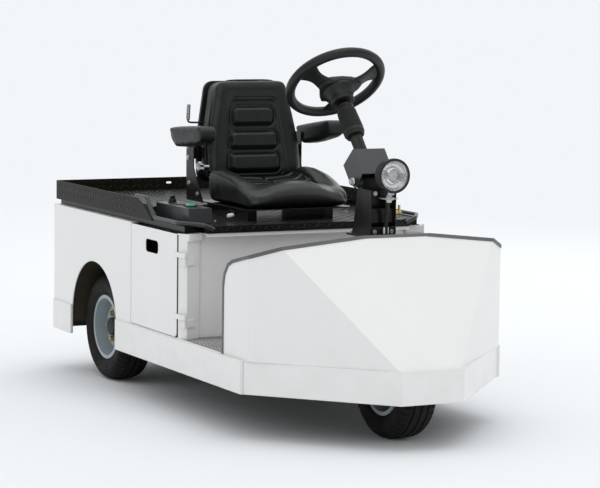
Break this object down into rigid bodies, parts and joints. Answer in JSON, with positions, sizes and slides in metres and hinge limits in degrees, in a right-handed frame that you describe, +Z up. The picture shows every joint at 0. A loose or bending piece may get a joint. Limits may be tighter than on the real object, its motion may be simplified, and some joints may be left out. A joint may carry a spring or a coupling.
{
  "type": "electric baggage tug",
  "caption": "Three-wheel electric baggage tug with a centre seat, step-through footwell, faceted white cowl, steering tower, walled rear deck and rear hitch.",
  "frame": {"origin": "on the floor, under the centre of the length and width of the vehicle", "axes": "+X forward, +Y to the driver's left, +Z up"},
  "size_m": [2.49, 1.118, 1.4518],
  "materials": {
    "white_paint": "gloss",
    "black_paint": "gloss",
    "chassis_paint": "satin",
    "steel": "satin",
    "vinyl": "satin",
    "black_plastic": "matte",
    "rubber": "matte",
    "tyre_rubber": "matte",
    "rim_paint": "satin",
    "lamp_glass": "gloss"
  },
  "bodies": {
    "chassis": {"armrest_left": "black_plastic", "armrest_right": "black_plastic", "battery_pack": "black_plastic", "body_side_left": "white_paint", "body_side_right": "white_paint", "cargo_deck": "black_paint", "column_boot": "rubber", "column_bracket": "black_paint", "column_tube": "black_paint", "console": "black_paint", "cowl": "white_paint", "cowl_trim": "rubber", "deck_frame": "black_paint", "deck_walls": "black_paint", "drive_motor": "chassis_paint", "floor_mat": "rubber", "floor_pan": "chassis_paint", "frame": "chassis_paint", "front_bulkhead": "white_paint", "front_bumper": "white_paint", "guard_rail_left": "black_paint", "guard_rail_right": "black_paint", "headlamp": "black_plastic", "headlamp_lens": "lamp_glass", "hinges_left": "white_paint", "hinges_right": "white_paint", "leaf_springs": "chassis_paint", "pedals": "rubber", "rear_axle": "chassis_paint", "rear_bumper": "white_paint", "seat_back": "vinyl", "seat_back_shell": "black_plastic", "seat_cushion": "vinyl", "seat_deck": "black_paint", "seat_pan": "black_paint", "seat_slides": "black_paint", "side_band_left": "white_paint", "side_band_right": "white_paint", "steering_head": "black_paint", "steering_tower": "black_paint", "tail_panel": "white_paint", "tow_hitch": "chassis_paint", "wheelhouse_front": "chassis_paint", "wheelhouse_left": "chassis_paint", "wheelhouse_right": "chassis_paint"},
    "door_right": {"door_right": "white_paint"},
    "door_left": {"door_left": "white_paint"},
    "steering_wheel": {"steering_wheel": "black_plastic"},
    "front_fork": {"front_fork": "chassis_paint", "front_axle": "steel"},
    "front_wheel": {"front_tyre": "tyre_rubber", "front_rim": "rim_paint"},
    "rear_right_wheel": {"rear_right_tyre": "tyre_rubber", "rear_right_rim": "rim_paint"},
    "rear_left_wheel": {"rear_left_tyre": "tyre_rubber", "rear_left_rim": "rim_paint"}
  },
  "joints": [
    {"name": "steering", "type": "hinge", "parent": "chassis", "child": "front_fork", "pos_m": [0.954, 0, 0.5], "axis": [0, 0, 1], "range_deg": [-45, 45]},
    {"name": "front_wheel_spin", "type": "hinge", "parent": "front_fork", "child": "front_wheel", "pos_m": [0.954, 0, 0.225], "axis": [0, 1, 0], "continuous": true},
    {"name": "rear_right_wheel_spin", "type": "hinge", "parent": "chassis", "child": "rear_right_wheel", "pos_m": [-0.73, -0.422, 0.225], "axis": [0, 1, 0], "continuous": true},
    {"name": "rear_left_wheel_spin", "type": "hinge", "parent": "chassis", "child": "rear_left_wheel", "pos_m": [-0.73, 0.422, 0.225], "axis": [0, 1, 0], "continuous": true},
    {"name": "steering_wheel_turn", "type": "hinge", "parent": "chassis", "child": "steering_wheel", "pos_m": [0.43216, 0, 1.31162], "axis": [-0.6626, 0, 0.749], "range_deg": [-270, 270]},
    {"name": "door_right_hinge", "type": "hinge", "parent": "chassis", "child": "door_right", "pos_m": [0.224, -0.541, 0.5], "axis": [0, 0, 1], "range_deg": [0, 110]},
    {"name": "door_left_hinge", "type": "hinge", "parent": "chassis", "child": "door_left", "pos_m": [0.224, 0.541, 0.5], "axis": [0, 0, -1], "range_deg": [0, 110]}
  ],
  "couplings": [
    {"joint": "steering_wheel_turn", "follows": "steering", "ratio": 6}
  ]
}
